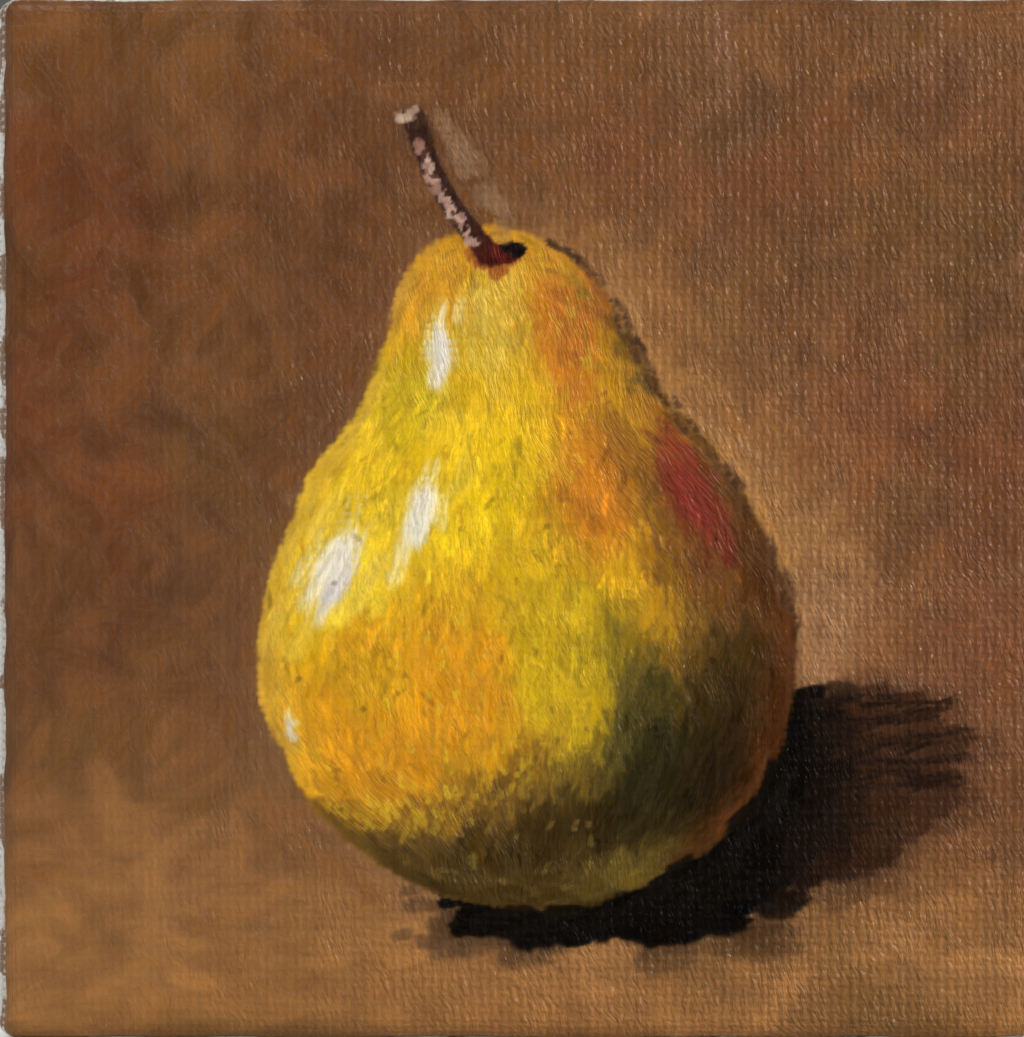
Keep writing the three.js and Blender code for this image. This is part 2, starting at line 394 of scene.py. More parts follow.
def form_angle(at, spread):
    """Along the pear: with its outline near it, and from stalk to base further in."""
    row, column = at
    inner = atan2(1.0, SHARE[row, column] * np.clip(SLOPE[row, 0], -1.1, 1.1))
    near = smoothstep(-4.5, -1.5, DISTANCE[row, column])
    right = DISTANCE[row, min(column + 4, GRID[1] - 1)] - DISTANCE[row, max(column - 4, 0)]
    over = DISTANCE[min(row + 4, GRID[0] - 1), column] - DISTANCE[max(row - 4, 0), column]
    rim = atan2(right, -over)
    twist = (rim - inner + pi / 2) % pi - pi / 2
    return inner + near * twist + gauss(0, spread)


def lay_ground():
    passes = [(8.0, 26, 260, 0.06, 0.85), (5.0, 14, 900, 0.36, 0.70), (2.6, 8, 2400, 0.55, 0.60)]
    for width, length, count, dry, opacity in passes:
        for place, at in spots(count, (-53, 53), (-3, 103), out=(-3, 99), shade=(-99, 3)):
            table = gauss(0.05, 0.25)
            wall = gauss(0.9 if chance() < 0.6 else 2.0, 0.35)
            angle = table if place[1] < 24 else wall
            size = uniform(0.7, 1.15)
            colour = GROUND[at] * gauss(1, 0.07) + jitter(0.008)
            dry_here = dry * uniform(0.6, 1.2) * SHOWING[at]
            stroke(
                place, angle, length * size, width * size, colour, dry=dry_here, body=0.010,
                bend=gauss(0, 0.06) * length, opacity=opacity, soft=0.42,
            )


def scumble():
    """Nearly dry paint dragged over the ground, which only thread tops catch."""
    for place, at in spots(420, (-53, 53), (-3, 103), out=(5, 99), shade=(-99, -3)):
        colour = GROUND[at] * (1.20 if chance() < 0.65 else 0.80) + jitter(0.012)
        angle, length, width = uniform(0, pi), uniform(7, 16), uniform(3, 6)
        dry = 0.70 * SHOWING[at]
        stroke(place, angle, length, width, colour, dry, body=0.008, opacity=0.5, soft=0.7)


def lay_shadow():
    passes = [
        (4.6, 10, 260, 0.05, 0.50, -1.4),
        (3.6, 6.5, 1100, 0.05, 0.95, 0.7),
        (2.0, 5, 1400, 0.16, 0.85, 0.3),
    ]
    for width, length, count, dry, opacity, inside in passes:
        for place, at in spots(count, (-18, 50), (6, 34), out=(-4, 99), shade=(inside, 99)):
            if not -11 < place[0] < 43:
                continue
            size = uniform(0.65, 1.1) * np.clip((place[0] + 14) / 12, 0.35, 1)  # it tapers to the left
            angle = gauss(0.13, 0.10)
            colour = mix(GROUND[at], SHADOW[at], 0.55) if inside < 0 else SHADOW[at]
            stroke(
                place, angle, length * size, width * size, colour + jitter(0.010), dry, body=0.010,
                bend=gauss(0, 0.3), opacity=opacity, streak=0.03, pickup=0.08, soft=0.35,
            )
    for _ in range(70):  # thin lines that single bristles dragged out to the right
        across, up = min(gauss(36, 3.5), 41), uniform(24, 33)
        if SHADOW_DEPTH[index_of(across - 4, up)] < -0.3:
            continue
        width, angle, length = uniform(0.35, 0.6), gauss(0.12, 0.16), uniform(3, 7)
        stroke((across, up), angle, length, width, rgb(28, 16, 10), dry=0.5, body=0.012, opacity=0.7)


def lay_pear():
    edge = smoothstep(0.5, -0.5, DISTANCE + 0.5 * noise(2.4, 3) + 0.3 * (0.55 - WEAVE))
    passes = [
        (5.2, 13, 480, 0.05, 0.95, 0.8, 0.3, 0.018),
        (3.4, 9.5, 900, 0.26, 0.80, 0.3, 0.35, 0.022),
        (2.2, 6.0, 1500, 0.46, 0.75, 0.0, 0.4, 0.030),
        (0.7, 3.0, 2600, 0.45, 0.70, -0.3, 0.5, 0.040),
    ]
    for width, length, count, dry, opacity, furthest_out, soft, body in passes:
        for place, at in spots(count, (-28, 31), (10, 80), out=(-99, furthest_out)):
            size = uniform(0.7, 1.15)
            shade = gauss(1, 0.08 if width > 1 else 0.15)
            angle = form_angle(at, 0.32)
            colour = PEAR[at] * shade + jitter(0.020) * PEAR[at].max()
            stroke(
                place, angle, length * size, width * size, colour, dry * uniform(0.5, 1.2), body,
                bend=gauss(0, 0.05) * length, opacity=opacity, streak=0.09, soft=soft, within=edge,
            )


def lay_flecks():
    """Short bright strokes of nearly dry paint where the pear's light meets its shade."""
    light = light_on_pear()
    for place, at in spots(3200, (-26, 7), (14, 76), out=(-99, -1)):
        turning = exp(-(((light[at] - 0.17 * smoothstep(29, 12, place[1]) - 0.56) / 0.06) ** 2))
        if chance() > 0.12 + turning:
            continue
        colour = between((196, 142, 10), (226, 190, 40)) * (0.55 + 0.45 * smoothstep(0.5, 0.66, light[at]))
        angle, length, width = form_angle(at, 0.35), uniform(0.8, 2.4), uniform(0.4, 0.75)
        stroke(place, angle, length, width, colour, dry=0.55, body=0.045, opacity=0.75)


def cut_in():
    """Ground colour brought up to the pear's outline, with the brush following it."""
    edge = smoothstep(-0.4, 0.5, DISTANCE + 0.5 * noise(2.4, 3) - 0.3 * (0.55 - WEAVE))
    for place, at in spots(900, (-32, 34), (12, 84)):
        width = uniform(1.2, 2.6)
        if not 0.35 * width < DISTANCE[at] < 3.6 or SHADOW_DEPTH[at] > -1.6:
            continue
        stroke(
            place, form_angle(at, 0.15), uniform(4, 9), width, GROUND[at] + jitter(0.018),
            body=0.009, opacity=0.75, pickup=0.1, soft=0.4, within=edge,
        )


def lay_contact():
    """The darkest shade, just outside the pear's base."""
    for place, at in spots(420, (-12, 29), (8, 26), out=(0.2, 3.2), shade=(0.2, 99)):
        angle, size = form_angle(at, 0.15), np.clip((place[0] + 14) / 20, 0.3, 1)
        length, width = uniform(3, 7) * size, uniform(1, 2.2) * size
        stroke(place, angle, length, width, rgb(13, 9, 6) + jitter(0.006), 0.1, body=0.01, opacity=0.9)


def lay_outline():
    """A broken dark line down the pear's right side, caught mostly by thread tops."""
    for place, at in spots(900, (2, 31), (36, 79), out=(-0.5, 0.7)):
        angle, length, colour = form_angle(at, 0.12), uniform(1.5, 3.5), between((50, 30, 18), (92, 58, 32))
        stroke(place, angle, length, uniform(0.5, 1.1), colour, dry=0.55, body=0.008, opacity=0.7)


def lay_lights():
    """Thick cream strokes where the pear shines, over thinner straw-coloured ones."""
    shines = [
        (-17.5, 45.0, 1.12, 1.2, 11.5, 2.6, 9),
        (-9.0, 50.5, 1.28, 1.0, 8.5, 2.3, 8),
        (-7.4, 66.5, 1.42, 0.6, 8.0, 1.9, 6),
        (-22.2, 30.0, 1.95, 0.4, 4.2, 1.4, 4),
    ]
    # For each stage: how far strokes stray aside and along, then dryness, body, opacity and pickup.
    stages = [
        (1.5, 0.30, 0.44, 0.02, 0.5, 0.3),
        (1.2, 0.28, 0.60, 0.05, 0.7, 0.2),
        (0.55, 0.13, 0.36, 0.08, 0.75, 0.15),
    ]
    for across, up, slant, spread, length, width, count in shines:
        way = np.array([cos(slant), sin(slant)])
        for n in range(3 * count):
            stray_aside, stray_along, dry, body, opacity, pickup = stages[n // count]
            aside, along = gauss(0, stray_aside) * spread, gauss(0, stray_along) * length
            place = np.array([across, up]) + along * way + aside * np.array([way[1], -way[0]])
            if outside(*place) > -1.4:
                continue
            white = between((244, 238, 212), (224, 216, 214))
            angle = slant + gauss(0, 0.13)
            long, wide = length * uniform(0.45, 0.95), width * uniform(0.5, 1.1)
            whiteness = (0.2 * chance(), 0.6, 1.0)[n // count]
            stroke(
                place, angle, long, wide, mix(rgb(232, 204, 92), white, whiteness), dry, body,
                bend=gauss(0, 0.35), opacity=opacity, streak=0.22, pickup=pickup, soft=0.45,
            )


def lay_stalk():
    foot = np.array([lean(PEAR_TOP) + 0.2, PEAR_TOP - 2.8])
    tip = foot + [-7.4, 13.2]
    stalk = tip - foot
    slant = atan2(stalk[1], stalk[0])

    def on_stalk(share):
        return foot + stalk * share - np.array([0.9, 0.45]) * sin(pi * share)

    hollow = [(1.1, 0.3, (158, 84, 20), 1.6), (0.7, 0.9, (62, 18, 10), 1.4), (0.42, 2.3, (20, 14, 11), 0.9)]
    for reach, aside, colour, width in hollow:
        for _ in range(16):
            place = foot + [aside, 0.35 * aside - 0.3] + gauss(0, [1.0, 0.45]) * reach
            angle, length = gauss(0.3, 0.35), uniform(1.6, 2.8)
            own = rgb(*colour) + jitter(0.015)
            stroke(place, angle, length, width, own, dry=0.1, body=0.02, opacity=0.85)
    for _ in range(26):  # pale ground brushed along its right side
        place = foot + stalk * uniform(0.1, 0.95) + [uniform(1.2, 3.4), 0.6]
        colour, length = rgb(150, 114, 84) * uniform(0.8, 1.05), uniform(2.5, 5)
        angle, width = slant + gauss(0, 0.25), uniform(1, 2.2)
        stroke(place, angle, length, width, colour, dry=0.5, body=0.02, opacity=0.5)
    for share in np.linspace(0.02, 1, 60):  # its body
        width = 2.3 - 0.5 * share + 0.8 * share**6
        colour = mix(rgb(66, 18, 12), rgb(54, 32, 24), smoothstep(0.0, 0.3, share)) + jitter(0.016)
        angle = slant + gauss(0.05, 0.1)
        stroke(on_stalk(share), angle, 2.6, width, colour, dry=0.0, body=0.012, opacity=0.9)
    for share in np.linspace(0.12, 0.86, 40):  # thick pink lights
        colour = between((150, 104, 88), (226, 196, 180))
        place = on_stalk(share) - [0.3, 0.1] + gauss(0, 0.2, 2)
        angle, length, width = slant + gauss(0.05, 0.3), uniform(0.8, 2.0), uniform(0.5, 1.2)
        stroke(place, angle, length, width, colour, body=0.06, opacity=0.9)
    for _ in range(16):  # dark nicks between them
        place = on_stalk(uniform(0.1, 0.92)) + gauss(0, 0.35, 2)
        angle, length, width = slant + gauss(0, 0.5), uniform(0.5, 1.3), uniform(0.35, 0.6)
        stroke(place, angle, length, width, rgb(58, 26, 20), dry=0.2, body=0.01)
    for _ in range(7):  # the pale cut end
        place = tip + [-0.5, 0.2] + gauss(0, [0.5, 0.3])
        colour = between((150, 108, 90), (206, 182, 158))
        angle, length, width = gauss(0.4, 0.4), uniform(0.9, 1.9), uniform(0.6, 1.0)
        stroke(place, angle, length, width, colour, body=0.05, opacity=0.9)
    for _ in range(7):  # a red tint at its foot
        place = foot + gauss(0, [0.9, 0.4]) + [0.9, 0.1]
        colour = rgb(96, 22, 14) + jitter(0.02)
        angle, length = gauss(1.4, 0.4), uniform(1.2, 2.0)
        stroke(place, angle, length, 0.9, colour, dry=0.0, opacity=0.7, soft=0.5)


def lay_specks():
    """The small dark lenticels and bruises of the skin."""
    for place, at in spots(40, (-24, 26), (15, 75), out=(-99, -3)):
        length, width = uniform(0.5, 1.3), uniform(0.4, 0.7)
        colour = COLOUR[at] * uniform(0.4, 0.7)
        stroke(place, uniform(0, 3.1), length, width, colour, dry=0.2, body=0.015, opacity=0.6)


for lay in (
    lay_ground, scumble, lay_shadow, lay_pear, lay_flecks, cut_in, lay_contact, lay_outline, lay_lights,
    lay_stalk, lay_specks,
):
    lay()


# ---- Camera, light and floor ----


def add_camera():
    """Straight on, filled by the painted face, with the canvas's left edge just in view."""
    distance, view_height = 0.46, 99.4 * MM
    data = bpy.data.cameras.new("camera")
    data.sensor_fit = "VERTICAL"
    data.sensor_height = 24
    data.lens = data.sensor_height * distance / view_height
    data.clip_start, data.clip_end = 0.01, 20
    camera = bpy.data.objects.new("camera", data)
    camera.location = (-0.5 * MM, FRONT * MM - distance, 50 * MM)
    camera.rotation_euler = (pi / 2, 0, 0)
    bpy.context.scene.collection.objects.link(camera)
    bpy.context.scene.camera = camera


def add_area_light(name, place, size, power, colour=(1, 1, 1)):
    """A rectangular light at that place, turned to the middle of the canvas."""
    data = bpy.data.lights.new(name, "AREA")
    data.shape, data.size, data.size_y = "RECTANGLE", size[0], size[1]
    data.energy, data.color = power, colour
    light = bpy.data.objects.new(name, data)
    light.location = place
    towards = Vector((0, 0, MIDDLE * MM)) - light.location
    light.rotation_euler = towards.to_track_quat("-Z", "Y").to_euler()
    bpy.context.scene.collection.objects.link(light)


def add_light():
    """The key rakes the weave from the right. Nothing bright is in front, so the darks stay dark."""
    add_area_light("key", (0.90, -0.50, 0.43), (0.30, 0.45), 11.6, (1.0, 0.94, 0.86))
    add_area_light("above", (-0.15, -0.42, 0.95), (0.5, 0.3), 2.6)
    add_area_light("left", (-0.85, -0.42, 0.25), (0.4, 0.5), 1.8, (0.96, 0.98, 1.0))
    add_area_light("back_left", (-0.65, 0.75, 0.65), (0.7, 0.7), 10.5)
    add_area_light("back_right", (0.7, 0.5, 0.5), (0.5, 0.5), 2.5)
    world = bpy.data.worlds.new("studio")
    world.use_nodes = True
    sky = world.node_tree.nodes["Background"]
    sky.inputs["Color"].default_value = (0.86, 0.87, 0.88, 1)
    sky.inputs["Strength"].default_value = 0.12
    bpy.context.scene.world = world
    bpy.context.scene.view_settings.view_transform = "Standard"

# ---- Meshes ----


def add_mesh(name, vertices, faces, smooth=True):
    """A mesh object from vertices in millimetres."""
    mesh = bpy.data.meshes.new(name)
    mesh.from_pydata((np.asarray(vertices) * MM).tolist(), [], faces)
    mesh.validate()
    mesh.polygons.foreach_set("use_smooth", np.full(len(mesh.polygons), smooth))
    piece = bpy.data.objects.new(name, mesh)
    bpy.context.scene.collection.objects.link(piece)
    return piece


def add_field(piece, name, values):
    """A value, or a vector where values has three columns, for each of a piece's vertices."""
    kind, key = ("FLOAT", "value") if values.ndim == 1 else ("FLOAT_VECTOR", "vector")
    attribute = piece.data.attributes.new(name, kind, "POINT")
    attribute.data.foreach_set(key, values.astype(np.float32).ravel())


def grid_quads(index):
    """The faces between neighbours in a grid of vertices."""
    corners = [index[:-1, :-1], index[:-1, 1:], index[1:, 1:], index[1:, :-1]]
    return np.stack(corners, -1).reshape(-1, 4).tolist()


def tube_faces(rings, count, first=0):
    """The faces of a tube through rings of count vertices, with a cap at each end."""
    index = first + np.arange(rings * count).reshape(rings, count)
    sides = grid_quads(np.column_stack([index, index[:, 0]]))
    return [index[0, ::-1].tolist()] + sides + [index[-1].tolist()]


# ---- The paint ----

PRIME = 0.12  # thickness of the even coat under the brush marks
THREAD_RELIEF = 0.07


def add_paint_film():
    past_across = np.clip(np.abs(ACROSS) - MIDDLE + EDGE, 0, None) * np.ones(GRID)
    past_up = np.clip(np.abs(UP - MIDDLE) - MIDDLE + EDGE, 0, None) * np.ones(GRID)
    past = np.maximum(past_across, past_up)
    # The share of the rounded edge that the paint covers is least on the left.
    sides = np.where(ACROSS < 0, 0.40, 0.74)
    reach = (past_across**2 * sides + past_up**2 * 0.7) / (past_across**2 + past_up**2 + 1e-9)
    reach = reach + 0.14 * noise(5, 3)
    turn = past / EDGE * np.clip(reach, 0.2, 0.98)
    out = np.hypot(past_across, past_up) + 1e-9
    body = PRIME + RELIEF + THREAD_RELIEF * WEAVE * SHOWING * np.exp(-RELIEF / 0.10)
    body = 0.03 + (body - 0.03) * smoothstep(1.0, 0.82, past / ARC)
    radial = (EDGE + body) * np.sin(turn)
    x = np.clip(ACROSS, -FLAT, FLAT) + np.sign(ACROSS) * past_across / out * radial
    z = np.clip(UP, EDGE, FACE - EDGE) + np.sign(UP - MIDDLE) * past_up / out * radial
    y = FRONT + EDGE - (EDGE + body) * np.cos(turn)
    points = np.stack([x, y, z], -1).reshape(-1, 3)

    # The film's border turns in under the cloth's surface, so it has no open lip.
    index = np.arange(len(points)).reshape(GRID)
    border = np.concatenate([index[0, :-1], index[:-1, -1], index[-1, :0:-1], index[:0:-1, 0]])
    inward = np.array([0, FRONT + EDGE, MIDDLE]) - points[border]
    tucked = points[border] + 0.25 * inward / np.linalg.norm(inward, axis=1, keepdims=True)
    under = len(points) + np.arange(len(border))
    skirt = np.stack([np.roll(border, -1), border, under, np.roll(under, -1)], -1)
    piece = add_mesh("paint", np.concatenate([points, tucked]), grid_quads(index) + skirt.tolist())

    def with_border(*fields):
        columns = np.stack(np.broadcast_arrays(*fields), -1).reshape(len(points), -1)
        return np.concatenate([columns, columns[border]])

    painted = linear(np.clip(COLOUR, 0, 1))
    add_field(piece, "paint_colour", with_border(*np.moveaxis(painted, -1, 0)))
    add_field(piece, "brush_place", with_border(HAIR, RUN, RELIEF))
    add_field(piece, "ridge_place", with_border(*RIDGE_PLACES, 1 - np.exp(-((DISTANCE / 0.7) ** 2))))
    add_field(piece, "thread_place", with_border(*THREAD_PLACES, SHOWING))
    # A flat UV map over the whole painted face.
    place = (line + REACH) / (2 * REACH)
    layer = piece.data.uv_layers.new(name="OFBake")
    corner = np.empty(len(piece.data.loops), np.int32)
    piece.data.loops.foreach_get("vertex_index", corner)
    places = with_border(place[None, :], place[:, None])[corner]
    layer.uv.foreach_set("vector", places.astype(np.float32).ravel())
    return piece


def linear(srgb):
    return np.where(srgb <= 0.04045, srgb / 12.92, ((srgb + 0.055) / 1.055) ** 2.4)


# ---- The cloth ----

SIDE_STEPS = 96  # along each straight edge
CORNER_STEPS = 6
STAPLES = sorted(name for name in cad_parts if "staple" in name)

# Ways along the cloth's section from the flat front's rim, to the side, the bend, the flat back and the cut.
SIDE = ARC + BACK - FRONT - 2 * EDGE
BACK_FLAT = SIDE + ARC
CUT = BACK_FLAT + FLAP - EDGE
STOPS = (0, ARC, SIDE, BACK_FLAT, CUT)
STEPS = (6, 13, 6, 11)
CLOTH_WAYS = np.concatenate([np.linspace(a, b, n + 1)[1:] for a, b, n in zip(STOPS, STOPS[1:], STEPS)])


def section_at(way):
    """Where a way along the cloth is and which way is out of it: (down from the edge, along Y, out, back)."""
    if way < ARC:
        s, c = sin(way / EDGE), cos(way / EDGE)
        return EDGE * (1 - s), FRONT + EDGE * (1 - c), s, -c
    if way < SIDE:
        return 0.0, FRONT + EDGE + way - ARC, 1.0, 0.0
    if way < BACK_FLAT:
        s, c = sin((way - SIDE) / EDGE), cos((way - SIDE) / EDGE)
        return EDGE * (1 - c), BACK - EDGE * (1 - s), c, s
    return EDGE + way - BACK_FLAT, BACK, 0.0, 1.0


def quarter_turned(x, z, quarter):
    """A place turned about the face's middle by that many quarters."""
    c, s = round(cos(quarter * pi / 2)), round(sin(quarter * pi / 2))
    return x * c - z * s, x * s + z * c


def rim_loop():
    """Round the flat front's rim from its lower left: where each point is, and which way is out of it."""
    places, outward = [], []
    for quarter in range(4):
        for along in np.linspace(-FLAT, FLAT, SIDE_STEPS + 1):
            places.append(quarter_turned(along, -FLAT, quarter))
            outward.append(quarter_turned(0, -1, quarter))
        for step in range(1, CORNER_STEPS):
            angle = (quarter + step / CORNER_STEPS - 1) * pi / 2
            places.append(quarter_turned(FLAT, -FLAT, quarter))
            outward.append((cos(angle), sin(angle)))
    return np.array(places), np.array(outward)


def staple_dents(x, z):
    """How deep the staples have pulled the turned-over cloth down at those places."""
    depth = np.zeros_like(x)
    for name in STAPLES:
        if name.startswith("corner"):
            continue
        low, high = box_mm(name)
        middle, half = (low + high) / 2, (high - low) / 2
        gap_x = np.clip(np.abs(x - middle[0]) - half[0], 0, None)
        gap_z = np.clip(np.abs(z - middle[2]) - half[2], 0, None)
        depth += 0.22 * np.exp(-((gap_x / 1.3) ** 2) - (gap_z / 1.3) ** 2)
    return np.clip(depth, 0, 0.3)


def waves(angle, count, seed):
    """A value from about -1 to 1 that waves with a direction."""
    random = np.random.default_rng(seed)
    total = np.zeros_like(angle)
    for order in range(2, count):
        total += random.normal() * np.sin(order * angle + random.uniform(0, 2 * pi)) / sqrt(count)
    return total


def cloth_surface(offset, rim, outward):
    """One face of the cloth, that far inside it: a grid over the front, then a ring for each of its ways."""
    angle = np.arctan2(rim[:, 1], rim[:, 0])
    fray, sway = 0.45 * waves(angle, 60, 3), waves(angle, 14, 4)
    steps = np.linspace(-FLAT, FLAT, SIDE_STEPS + 1)
    x, z = (side.ravel() for side in np.meshgrid(steps, steps))
    points = [np.column_stack([x, np.full(x.size, FRONT + offset), z + MIDDLE])]
    threads = [np.column_stack([x, z + MIDDLE, np.zeros(x.size)])]
    for way in CLOTH_WAYS:
        down, y, out, back = section_at(way)
        inset = max(down - EDGE, 0)
        inward = inset + fray * (inset / (CUT - BACK_FLAT)) ** 4
        place = rim * (1 - inward / FLAT)[:, None] + outward * (max(EDGE - down, 0) - offset * out)
        x, z = place[:, 0], place[:, 1] + MIDDLE
        lift = 0.10 * sway * smoothstep(0, CUT - BACK_FLAT, inset) - staple_dents(x, z) * (inset > 0)
        points.append(np.column_stack([x, y - offset * back + lift, z]))
        threads.append(np.column_stack([rim + outward * way + [0, MIDDLE], np.full(len(rim), way)]))
    return np.concatenate(points), np.concatenate(threads)


def add_canvas():
    """The cloth, which of its faces are unprimed, and where its vertices are among the threads."""
    rim, outward = rim_loop()
    count, side = len(rim), SIDE_STEPS + 1
    outer, outer_threads = cloth_surface(0.0, rim, outward)
    inner, inner_threads = cloth_surface(CLOTH, rim, outward)

    grid = np.arange(side * side).reshape(side, side)
    first = []
    for edge in (grid[0, :], grid[:, -1], grid[-1, ::-1], grid[::-1, 0]):
        first += list(edge) + [edge[-1]] * (CORNER_STEPS - 1)
    loops = [np.array(first)]
    loops += [side * side + count * ring + np.arange(count) for ring in range(len(CLOTH_WAYS))]
    face = grid_quads(grid)
    for before, after in zip(loops, loops[1:]):
        for quad in np.stack([before, after, np.roll(after, -1), np.roll(before, -1)], -1).tolist():
            corners = list(dict.fromkeys(quad))
            if len(corners) > 2:
                face.append(corners)
    total = len(outer)
    lining = [[vertex + total for vertex in corners[::-1]] for corners in face]
    edge, edge_in = loops[-1], loops[-1] + total
    cut = np.stack([edge, edge_in, np.roll(edge_in, -1), np.roll(edge, -1)], -1).tolist()
    piece = add_mesh("canvas_cloth", np.concatenate([outer, inner]), face + lining + cut)
    unprimed = np.arange(len(piece.data.polygons)) >= len(face)
    return piece, unprimed.astype(np.int32), np.concatenate([outer_threads, inner_threads])


FOLD_ROWS, FOLD_COLUMNS = 40, 18


def add_corner_fold(side_x, side_z):
    """A corner's pleat, which starts at the front and widens to the back.

    Its near edge is the fold, square to the face on the side and mitred on the back.
    """
    under = -0.12  # its border is just under the cloth's surface
    side_thickness = 0.0 if side_z < 0 else 0.42  # none where it stands on the floor
    points, threads = [], []
    for way in np.linspace(0.6 * ARC, CUT + 0.3, FOLD_ROWS):
        down, y, out, back = section_at(way)
        near = 2.0 + (down + 0.35 - 2.0) * smoothstep(SIDE, BACK_FLAT, way) * (down > 2.0)
        far = near + 3 + 17 * smoothstep(ARC, BACK_FLAT, way)
        thick = side_thickness * out + 0.95 * back
        for share in np.linspace(0, 1, FOLD_COLUMNS) ** 1.6:
            along = near + (far - near) * share
            crown = smoothstep(-0.02, 0.035, share) * (1 - smoothstep(0.35, 1.0, share)) * (share > 0)
            height = under + (thick - under) * crown
            x = side_x * (MIDDLE - along)
            z = MIDDLE + side_z * (MIDDLE - down + height * out)
            points.append((x, y + height * back, z))
            threads.append((along, MIDDLE + way + 3, way))
    index = np.arange(FOLD_ROWS * FOLD_COLUMNS).reshape(FOLD_ROWS, FOLD_COLUMNS)
    quads = [corners[:: -1 if side_x * side_z > 0 else 1] for corners in grid_quads(index)]
    name = f"fold_{('bottom', 'top')[side_z > 0]}_{('left', 'right')[side_x > 0]}"
    return add_mesh(name, points, quads), np.array(threads)


# ---- The bars ----

BEAD, BEAD_STEP, FALL = 3.0, 0.8, 2.2  # the raised rim, and how deep the wood falls away behind the cloth
MITRE_GAP = 0.1
BAR_STEPS = 40


def bar_section():
    """Round a bar's section: (in from the outer edge, back from the front), with every edge eased."""
    depth = BAR_BACK - BAR_FRONT
    corners = [(0, 0, 1.3), (BEAD, 0, 0.3), (BEAD + BEAD_STEP, BEAD_STEP, 0.4), (BAR_WIDTH, FALL, 0.7)]
    corners += [(BAR_WIDTH, depth, 0.8), (0, depth, 1.3)]
    points = []
    for n, (across, back, ease) in enumerate(corners):
        here = np.array([across, back])
        before = np.array(corners[n - 1][:2]) - here
        after = np.array(corners[(n + 1) % len(corners)][:2]) - here
        start = here + ease * before / np.linalg.norm(before)
        end = here + ease * after / np.linalg.norm(after)
        for share in np.linspace(0, 1, 5):
            points.append((1 - share) ** 2 * start + 2 * share * (1 - share) * here + share**2 * end)
    return points


def add_bar(name, quarter):
    """A stretcher bar, made as the bottom one round the canvas's middle and turned to its side."""
    section = bar_section()
    outer = MIDDLE - BAR_INSET
    random = np.random.default_rng(20 + quarter)
    points = []
    for share in np.linspace(-1, 1, BAR_STEPS + 1):
        for (across, back), rough in zip(section, random.normal(0, 0.018, len(section))):
            dip = rough if across > 1 else 0
            y = BAR_FRONT + back - (dip if back > BAR_WIDTH / 2 else 0)
            points.append((share * (outer - across - MITRE_GAP), y, across - outer - dip))
    faces = tube_faces(BAR_STEPS + 1, len(section))
    piece = add_mesh(name, points, faces)
    piece.data.polygons.foreach_set("use_smooth", [len(face) == 4 for face in faces])
    piece.rotation_euler = (0, quarter * pi / 2, 0)
    piece.location = (0, 0, MIDDLE * MM)
    return piece


# ---- The staples ----

CROWN, WIRE_WIDTH, WIRE_THICKNESS = 9.0, 1.2, 0.55
LEG = 6.0
BEND = 0.7  # radius of the wire's outside where the crown turns into a leg
WIRE_EASE = 0.16  # radius of the wire's edges


def staple_path():
    """The wire's middle line, up one leg, along the crown and down the other, and which way is out of it."""
    half = (CROWN - WIRE_THICKNESS) / 2
    top, radius = -WIRE_THICKNESS / 2, BEND - WIRE_THICKNESS / 2
    places = [(-half, y, -1.0, 0.0) for y in np.linspace(-LEG, top - radius, 6)[:-1]]
    for angle in np.linspace(0, pi / 2, 7):
        s, c = sin(angle), cos(angle)
        places.append((-half + radius * (1 - c), top - radius * (1 - s), -c, s))
    crown = np.linspace(-half + radius, half - radius, 11)[1:-1]
    places += [(x, top + 0.05 * (1 - (x / half) ** 2), 0.0, 1.0) for x in crown]
    return places + [(-x, y, -out, up) for x, y, out, up in places[11::-1]]


def add_staple(name):
    """A staple of flat wire with rounded edges, where its CAD solid is but a little out of line."""
    low, high = box_mm(name)
    size, middle = high - low, (low + high) / 2
    turn = 0.0 if size[0] > 1.5 * size[2] else pi / 2
    if name.startswith("corner"):
        turn = pi / 4 if (middle[0] < 0) == (middle[2] < MIDDLE) else -pi / 4
    section = []
    for corner, (sign_w, sign_t) in enumerate(((1, 1), (-1, 1), (-1, -1), (1, -1))):
        for angle in np.linspace(0, pi / 2, 4) + corner * pi / 2:
            w = sign_w * (WIRE_WIDTH / 2 - WIRE_EASE) + WIRE_EASE * cos(angle)
            section.append((w, sign_t * (WIRE_THICKNESS / 2 - WIRE_EASE) + WIRE_EASE * sin(angle)))
    path = staple_path()
    points = [(x + out * t, y + up * t, w) for x, y, out, up in path for w, t in section]
    piece = add_mesh(name + "_wire", points, [face[::-1] for face in tube_faces(len(path), len(section))])
    random = np.random.default_rng(sum(name.encode()))
    skew, tip = random.normal(0, 0.035), random.normal(0, 0.01)
    shift = random.normal(0, 0.15, 2)
    piece.rotation_euler = (tip, turn + skew, 0)
    piece.location = ((middle[0] + shift[0]) * MM, high[1] * MM, (middle[2] + shift[1]) * MM)
    return piece


# ---- Loose threads ----


